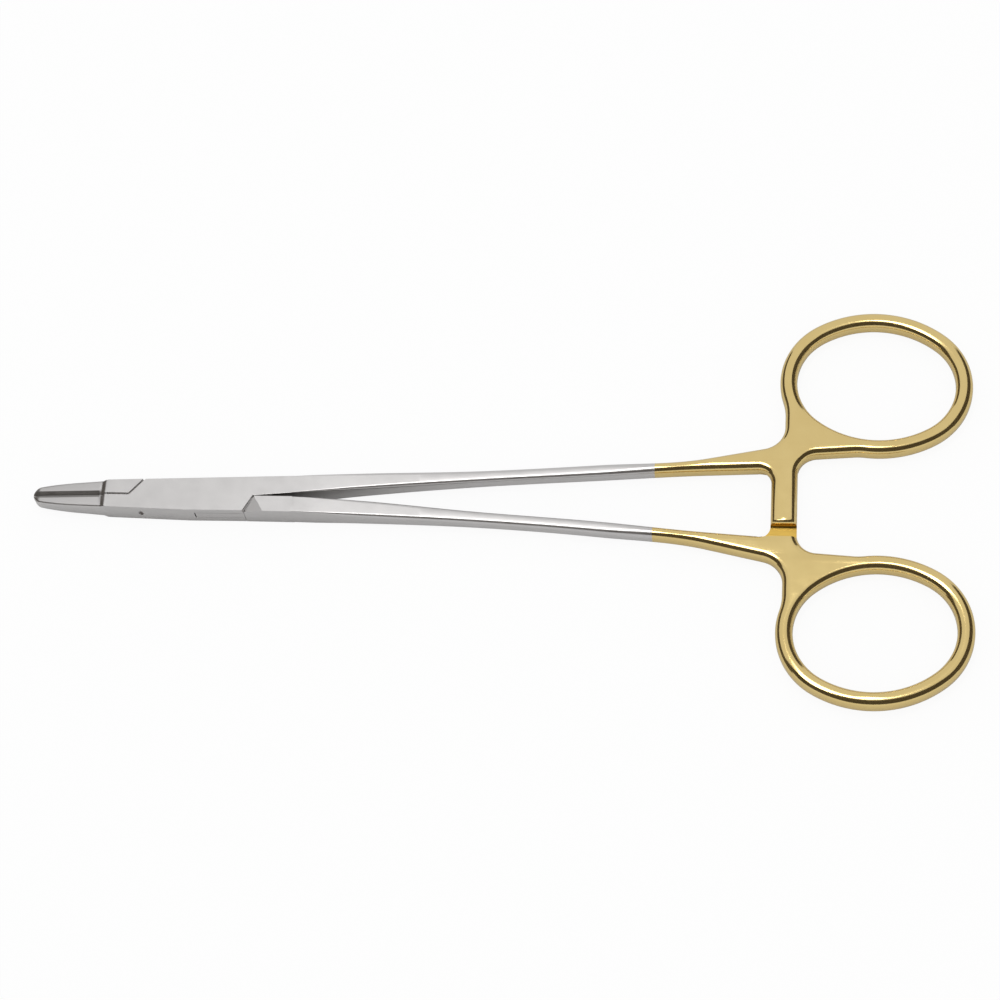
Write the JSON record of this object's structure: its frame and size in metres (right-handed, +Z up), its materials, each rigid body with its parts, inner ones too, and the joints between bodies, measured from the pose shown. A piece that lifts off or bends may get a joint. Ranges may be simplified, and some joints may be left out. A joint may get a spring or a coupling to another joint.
{
  "type": "surgical needle holder",
  "caption": "Slender ring-handled needle holder with a box lock, cross-cut carbide jaw plates, a ratchet between the handles and gilded finger rings.",
  "frame": {"origin": "centre of the bounding box at its underside, the plane that the underside of the box lock rests on", "axes": "+X along the instrument from the jaws to the finger rings, +Y across it towards the ring of the box half, +Z up through its thickness, square to the face that carries the lock"},
  "size_m": [0.15, 0.0684, 0.004],
  "materials": {
    "steel": "satin stainless steel, handles gold plated and polished",
    "pin_steel": "stainless steel, ground flush",
    "carbide": "sintered tungsten carbide, ground"
  },
  "bodies": {
    "box_side": {"box_half": "steel", "lock_pin": "pin_steel", "box_jaw_insert": "carbide"},
    "tongue_side": {"tongue_half": "steel", "tongue_jaw_insert": "carbide"}
  },
  "joints": [
    {"name": "lock_hinge", "type": "hinge", "parent": "box_side", "child": "tongue_side", "pos_m": [-0.0495, 0, 0.002], "axis": [0, 0, -1], "range_deg": [0, 25]}
  ]
}
